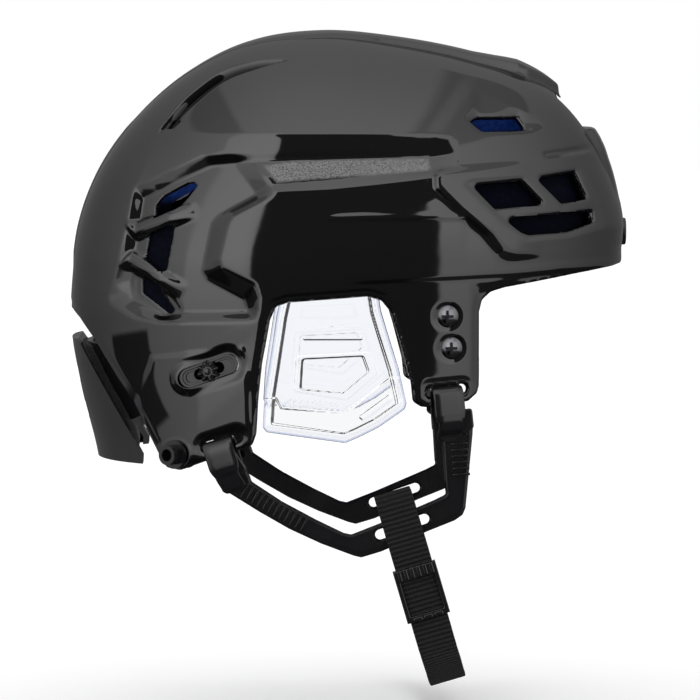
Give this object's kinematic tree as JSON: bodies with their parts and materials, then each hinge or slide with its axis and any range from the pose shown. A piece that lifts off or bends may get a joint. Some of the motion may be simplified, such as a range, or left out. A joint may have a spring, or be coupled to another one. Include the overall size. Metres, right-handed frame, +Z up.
{
  "type": "ice hockey helmet",
  "caption": "Glossy black ice hockey helmet with vents, clear ear guards, J-shaped chin slings, a webbing chin strap and an adjustable occipital cradle.",
  "frame": {"origin": "middle of the head cavity, on the helmet's middle plane, level with the lower edge of the brow", "axes": "+X to the front of the helmet, +Y to the wearer's left, +Z up towards the crown"},
  "size_m": [0.2874, 0.2036, 0.3406],
  "materials": {
    "shell": "high gloss",
    "spine": "high gloss",
    "liner": "moulded foam",
    "comfort_pad": "knit over foam",
    "clear_guard": "clear polycarbonate",
    "moulded_black": "satin",
    "screw_steel": "polished steel",
    "webbing": "woven",
    "dark_hardware": "black oxide"
  },
  "bodies": {
    "shell": {"outer_shell": "shell", "crown_spine": "spine", "front_liner": "liner", "rear_liner": "liner", "brow_pad": "comfort_pad", "rear_pad": "comfort_pad", "crown_pad": "comfort_pad", "guard_washers": "moulded_black", "temple_screws": "screw_steel", "temple_nuts": "dark_hardware", "stud_nuts": "dark_hardware", "front_bumper": "moulded_black", "bumper_nut": "dark_hardware", "temple_pad_right": "comfort_pad", "side_pad_right": "comfort_pad", "jaw_pad_right": "comfort_pad", "ear_guard_right": "clear_guard", "adjuster_track_right": "moulded_black", "rear_stud_right": "moulded_black", "temple_pad_left": "comfort_pad", "side_pad_left": "comfort_pad", "jaw_pad_left": "comfort_pad", "ear_guard_left": "clear_guard", "adjuster_track_left": "moulded_black", "rear_stud_left": "moulded_black"},
    "sling_right": {"sling_right": "moulded_black"},
    "sling_left": {"sling_left": "moulded_black"},
    "strap": {"chin_strap": "webbing"},
    "slider": {"strap_slider": "moulded_black"},
    "cradle": {"occipital_cradle": "moulded_black", "nape_pad": "comfort_pad", "adjuster_nut_right": "dark_hardware", "adjuster_nut_left": "dark_hardware"},
    "knob_right": {"adjuster_knob_right": "moulded_black"},
    "knob_left": {"adjuster_knob_left": "moulded_black"}
  },
  "joints": [
    {"name": "sling_right_swing", "type": "hinge", "parent": "shell", "child": "sling_right", "pos_m": [-0.063, -0.09324, -0.08465], "axis": [0.974, -0.0146, 0.2261], "range_deg": [-6, 6]},
    {"name": "sling_left_swing", "type": "hinge", "parent": "shell", "child": "sling_left", "pos_m": [-0.063, 0.09324, -0.08465], "axis": [0.974, 0.0146, 0.2261], "range_deg": [-6, 6]},
    {"name": "strap_level", "type": "hinge", "parent": "sling_right", "child": "strap", "pos_m": [0.02632, -0.0946, -0.11813], "axis": [0.974, -0.0146, 0.2261], "range_deg": [-6, 6]},
    {"name": "slider_slide", "type": "slide", "parent": "strap", "child": "slider", "axis": [-0.2823, 0, 0.9593], "range_m": [-0.002, 0.008]},
    {"name": "cradle_slide", "type": "slide", "parent": "shell", "child": "cradle", "axis": [0.9397, 0, 0.342], "range_m": [-0.005, 0.005]},
    {"name": "knob_right_turn", "type": "hinge", "parent": "cradle", "child": "knob_right", "pos_m": [-0.0695, -0.0947, -0.0435], "axis": [-0.1736, -0.9848, 0], "continuous": true},
    {"name": "knob_left_turn", "type": "hinge", "parent": "cradle", "child": "knob_left", "pos_m": [-0.0695, 0.0947, -0.0435], "axis": [-0.1736, 0.9848, 0], "continuous": true}
  ],
  "couplings": [
    {"joint": "sling_left_swing", "follows": "sling_right_swing", "ratio": 1},
    {"joint": "strap_level", "follows": "sling_right_swing", "ratio": -1}
  ]
}
